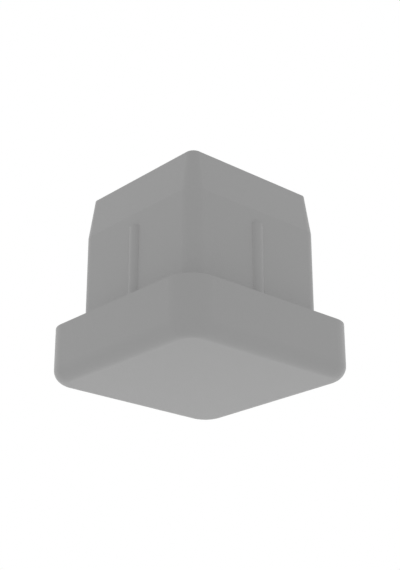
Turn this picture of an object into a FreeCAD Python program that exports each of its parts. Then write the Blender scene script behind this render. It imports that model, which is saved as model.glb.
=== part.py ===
import FreeCAD, Part
import os
from math import radians, tan

# Profile end cap: a one-piece moulded plug that closes the open end of a square tube.
# A thick square head covers the tube's end, and a hollow plug with a tapered nose is
# pushed into the bore, where one half-round rib on each side is squeezed by the wall.
#
# Frame: origin at the centre of the head's outer face, +Z from that face up the plug.
# The cap is square about Z and stands on its outer face. Lengths are millimetres.

# The square tube that the cap closes, which the head and the plug take their sizes from
tube_side = 30.0
tube_wall = 2.5

# Head
head_overhang = 0.5
head_height = 8.0
head_corner_radius = 4.0
face_edge_radius = 2.0

# Plug, measured up from the ledge where the tube's end sits
plug_clearance = 0.5
plug_straight_height = 14.0
plug_corner_radius = 2.0
nose_height = 6.0
nose_angle = 8.0

# Ribs, one in the middle of each side of the plug
rib_squeeze = 0.05
rib_radius = 1.2
rib_height = 12.0

# Hollow, open at the plug's nose
plug_wall = 2.0
face_wall = 2.5
core_draft_angle = 0.5
core_corner_radius = 1.5
core_floor_radius = 1.0

# Sizes that follow from the driving dimensions
head_side = tube_side + 2 * head_overhang
bore_side = tube_side - 2 * tube_wall
plug_side = bore_side - 2 * plug_clearance
rib_stand_out = plug_clearance + rib_squeeze
nose_start = head_height + plug_straight_height
cap_height = nose_start + nose_height
nose_inset = nose_height * tan(radians(nose_angle))
hollow_depth = cap_height - face_wall
hollow_draft_inset = hollow_depth * tan(radians(core_draft_angle))

UP = FreeCAD.Vector(0, 0, 1)
AXIS_POINT = FreeCAD.Vector(0, 0, 0)


def rounded_square(side, corner_radius, z):
    """Closed outline of a square with round corners, centred on the axis at height z."""
    half = side / 2
    corner_centre = half - corner_radius
    corner_middle = corner_centre + corner_radius / 2 ** 0.5
    edges = []
    for quarter in range(4):
        start = FreeCAD.Vector(half, -corner_centre, z)
        end = FreeCAD.Vector(half, corner_centre, z)
        middle = FreeCAD.Vector(corner_middle, corner_middle, z)
        after = FreeCAD.Vector(corner_centre, half, z)
        side_and_corner = [
            Part.LineSegment(start, end).toShape(),
            Part.Arc(end, middle, after).toShape(),
        ]
        for edge in side_and_corner:
            edge.rotate(AXIS_POINT, UP, 90 * quarter)
            edges.append(edge)
    return Part.Wire(edges)


def prism(side, corner_radius, low, high):
    """Straight solid with the rounded square outline, from height low to height high."""
    outline = Part.Face(rounded_square(side, corner_radius, low))
    return outline.extrude(UP * (high - low))


def tapered_prism(low_side, low_radius, low, high_side, high_radius, high):
    """Solid whose flat sides and conical corners run straight between two outlines."""
    outlines = [
        rounded_square(low_side, low_radius, low),
        rounded_square(high_side, high_radius, high),
    ]
    return Part.makeLoft(outlines, True, True)


def round_lower_edges(solid, radius, z):
    """Fillet the loop of edges that bounds the solid's lower face at height z."""
    loop = [edge for edge in solid.Edges if abs(edge.BoundBox.ZMax - z) < 1e-6]
    return solid.makeFillet(radius, loop)


def make_head():
    """Square head with round corners and a large fillet around its outer face."""
    block = prism(head_side, head_corner_radius, 0, head_height)
    return round_lower_edges(block, face_edge_radius, 0)


def make_plug():
    """Straight plug with a nose that tapers on all four sides to lead it into the tube."""
    straight = prism(plug_side, plug_corner_radius, head_height, nose_start)
    nose = tapered_prism(
        plug_side, plug_corner_radius, nose_start,
        plug_side - 2 * nose_inset, plug_corner_radius - nose_inset, cap_height)
    return straight.fuse(nose)


def make_rib(side_number):
    """Half-sunk round bar up the middle of one side, cut off square below the nose."""
    centre = plug_side / 2 + rib_stand_out - rib_radius
    foot = FreeCAD.Vector(0, -centre, head_height)
    rib = Part.makeCylinder(rib_radius, rib_height, foot, UP)
    rib.rotate(AXIS_POINT, UP, 90 * side_number)
    return rib


def make_hollow():
    """Core of the moulding: it widens towards the open nose and has a filleted floor."""
    mouth_side = plug_side - 2 * plug_wall
    core = tapered_prism(
        mouth_side - 2 * hollow_draft_inset, core_corner_radius, face_wall,
        mouth_side, core_corner_radius + hollow_draft_inset, cap_height)
    return round_lower_edges(core, core_floor_radius, face_wall)


def make_end_cap():
    """The whole cap as one solid."""
    cap = make_head().fuse([make_plug()] + [make_rib(number) for number in range(4)])
    cap = cap.removeSplitter()
    return cap.cut(make_hollow())


end_cap = make_end_cap()
os.makedirs("parts", exist_ok=True)
end_cap.exportStep("parts/end_cap.step")
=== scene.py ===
import math

import bmesh
import bpy
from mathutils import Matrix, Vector

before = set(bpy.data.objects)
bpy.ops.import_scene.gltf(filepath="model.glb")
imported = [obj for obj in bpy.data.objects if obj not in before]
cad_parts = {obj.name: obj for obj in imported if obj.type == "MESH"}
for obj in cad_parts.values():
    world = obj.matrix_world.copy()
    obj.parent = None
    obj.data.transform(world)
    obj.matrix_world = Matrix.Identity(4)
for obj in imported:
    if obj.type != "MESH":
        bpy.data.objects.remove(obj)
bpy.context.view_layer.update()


# The end cap. One injection moulding in through-coloured mid-grey plastic, pushed into the
# end of a square tube. The mould's walls leave a fine matte grain on it, and the melt sets
# a little unevenly in colour and gloss where it flowed round the core.

class Field:
    """One output in a tree of shader nodes. A sum or product of Fields adds Math nodes."""

    def __init__(self, tree, socket=None):
        self.tree = tree
        self.socket = socket

    def node(self, kind, settings=(), values=(), output=0):
        """A new node: its settings first, then the number, colour or Field of each input."""
        made = self.tree.nodes.new(kind)
        for name, setting in dict(settings).items():
            setattr(made, name, setting)
        for key, value in dict(values).items():
            if isinstance(value, Field):
                self.tree.links.new(value.socket, made.inputs[key])
            else:
                made.inputs[key].default_value = value
        return Field(self.tree, made.outputs[output] if made.outputs else None)

    def math(self, operation, first, second):
        return self.node("ShaderNodeMath", {"operation": operation}, {0: first, 1: second})

    def __add__(self, other):
        return self.math("ADD", self, other)

    def __sub__(self, other):
        return self.math("SUBTRACT", self, other)

    def __rsub__(self, other):
        return self.math("SUBTRACT", other, self)

    def __mul__(self, other):
        return self.math("MULTIPLY", self, other)

    __radd__ = __add__
    __rmul__ = __mul__


def empty_tree(owner):
    """Clears the nodes of a material or world, and gives the Field that new ones start from."""
    owner.use_nodes = True
    owner.node_tree.nodes.clear()
    return Field(owner.node_tree)


MM = 0.001

plastic_grey = 0.31
plastic_roughness = 0.37
plastic_ior = 1.38

grain_size = 0.2 * MM
grain_depth = 0.02 * MM
grain_octaves = 2.0
grain_octave_share = 0.6

flow_size = 9 * MM
flow_octaves = 3.0
flow_swirl = 0.8
flow_tint = 0.02
flow_gloss = 0.04
noise_middle = 0.5

plastic = bpy.data.materials.new("moulded_plastic_grey")
shader = empty_tree(plastic)
place = shader.node("ShaderNodeTexCoord", output="Object")
grain = shader.node("ShaderNodeTexNoise", values={
    "Vector": place, "Scale": 1 / grain_size,
    "Detail": grain_octaves, "Roughness": grain_octave_share})
flow = shader.node("ShaderNodeTexNoise", values={
    "Vector": place, "Scale": 1 / flow_size,
    "Detail": flow_octaves, "Distortion": flow_swirl}) - noise_middle
shade = (1 + flow * flow_tint) * plastic_grey
surface = shader.node("ShaderNodeBsdfPrincipled", values={
    "Base Color": shader.node("ShaderNodeCombineColor", values={
        "Red": shade, "Green": shade, "Blue": shade}),
    "Roughness": plastic_roughness + flow * flow_gloss,
    "IOR": plastic_ior,
    "Normal": shader.node("ShaderNodeBump", values={"Height": grain, "Distance": grain_depth}),
})
shader.node("ShaderNodeOutputMaterial", values={"Surface": surface})

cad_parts["end_cap"].material_slots[0].material = plastic


# The floor. A plain pale surface that the cap stands on, just clear of its outer face. It
# fades out into the white room, and shows only from above: the photo looks up at the cap
# through its place, so from below the floor lets light and view through.

floor_drop = 0.05 * MM
floor_radius = 160 * MM
floor_full_radius = 60 * MM
floor_corners = 96
floor_shade = 0.84

floor_mesh = bpy.data.meshes.new("floor")
disc = bmesh.new()
bmesh.ops.create_circle(disc, cap_ends=True, segments=floor_corners, radius=floor_radius)
for vertex in disc.verts:
    vertex.co.z -= floor_drop
disc.to_mesh(floor_mesh)
disc.free()
floor = bpy.data.objects.new("floor", floor_mesh)
bpy.context.scene.collection.objects.link(floor)

floor_paint = bpy.data.materials.new("pale_floor")
shader = empty_tree(floor_paint)
place = shader.node("ShaderNodeTexCoord", output="Object")
from_centre = shader.node("ShaderNodeVectorMath", {"operation": "LENGTH"}, {0: place}, "Value")
fade = shader.node("ShaderNodeMapRange", {"interpolation_type": "SMOOTHSTEP"}, {
    "Value": from_centre, "From Min": floor_radius, "From Max": floor_full_radius})
seen = shader.node("ShaderNodeLightPath", output="Is Camera Ray")
from_above = 1 - shader.node("ShaderNodeNewGeometry", output="Backfacing")
surface = shader.node("ShaderNodeMixShader", values={
    0: seen * from_above * fade,
    1: shader.node("ShaderNodeBsdfTransparent"),
    2: shader.node("ShaderNodeBsdfDiffuse", values={"Color": (floor_shade,) * 3 + (1,)}),
})
shader.node("ShaderNodeOutputMaterial", values={"Surface": surface})
floor_mesh.materials.append(floor_paint)


# The light. A white room lights the cap evenly from all sides, as a light tent does. Two
# very wide lamps without shadows lift the cap's creases, as light thrown back by the
# tent's cloth does, and a key lamp high behind the cap shapes the sides the photo hides.

white = (1, 1, 1, 1)
room_level = 0.874
fill_share = 0.25
shadowed_share = 1 - fill_share

room = bpy.data.worlds.new("light_tent")
shader = empty_tree(room)
on_matt = shader.node("ShaderNodeLightPath", output="Is Diffuse Ray")
surface = shader.node("ShaderNodeBackground", values={
    "Color": white, "Strength": 1 - on_matt * (1 - room_level * shadowed_share)})
shader.node("ShaderNodeOutputWorld", values={"Surface": surface})
bpy.context.scene.world = room


def towards(azimuth, elevation):
    """The unit vector to a place seen at these angles from the cap, whose front faces -Y."""
    return Vector((
        math.sin(azimuth) * math.cos(elevation),
        -math.cos(azimuth) * math.cos(elevation),
        math.sin(elevation)))


def hang_lamp(name, level, angle, direction):
    """A distant lamp that lights a surface facing it to level, and looks angle wide."""
    lamp = bpy.data.lights.new(name, "SUN")
    lamp.energy = math.pi * level
    lamp.angle = angle
    holder = bpy.data.objects.new(name, lamp)
    holder.rotation_mode = "QUATERNION"
    holder.rotation_quaternion = direction.to_track_quat("Z", "Y")
    bpy.context.scene.collection.objects.link(holder)
    return holder


# The floor takes no light from the two wide lamps, so that the cap's shadow on it stays.
not_filled = bpy.data.collections.new("not_filled")
not_filled.objects.link(floor)
not_filled.collection_objects[0].light_linking.link_state = "EXCLUDE"

half_the_room = math.pi

for name, up in ("fill_above", 1), ("fill_below", -1):
    holder = hang_lamp(name, room_level * fill_share, half_the_room, Vector((0, 0, up)))
    holder.light_linking.receiver_collection = not_filled
    holder.visible_glossy = False
    holder.data.use_shadow = False
    holder.data.cycles.use_multiple_importance_sampling = False

key_azimuth = math.radians(248)
key_elevation = math.radians(48)
key_angle = math.radians(15)
key_level = 0.6

hang_lamp("key", key_level, key_angle, towards(key_azimuth, key_elevation))

bpy.context.scene.view_settings.view_transform = "Standard"


# The camera. It stands below the cap and off one of its corners, level from side to side,
# and looks at the middle of the cap, as in the photo.

camera_azimuth = math.radians(48.221)
camera_elevation = math.radians(-22.259)
camera_place = Vector((119.84, -106.93, -51.16)) * MM
camera_lens = 76.87
camera_nearest = 10 * MM

camera_data = bpy.data.cameras.new("camera")
camera_data.lens = camera_lens
camera_data.clip_start = camera_nearest
camera = bpy.data.objects.new("camera", camera_data)
camera.location = camera_place
camera.rotation_mode = "QUATERNION"
camera.rotation_quaternion = (-towards(camera_azimuth, camera_elevation)).to_track_quat("-Z", "Y")
bpy.context.scene.collection.objects.link(camera)
bpy.context.scene.camera = camera
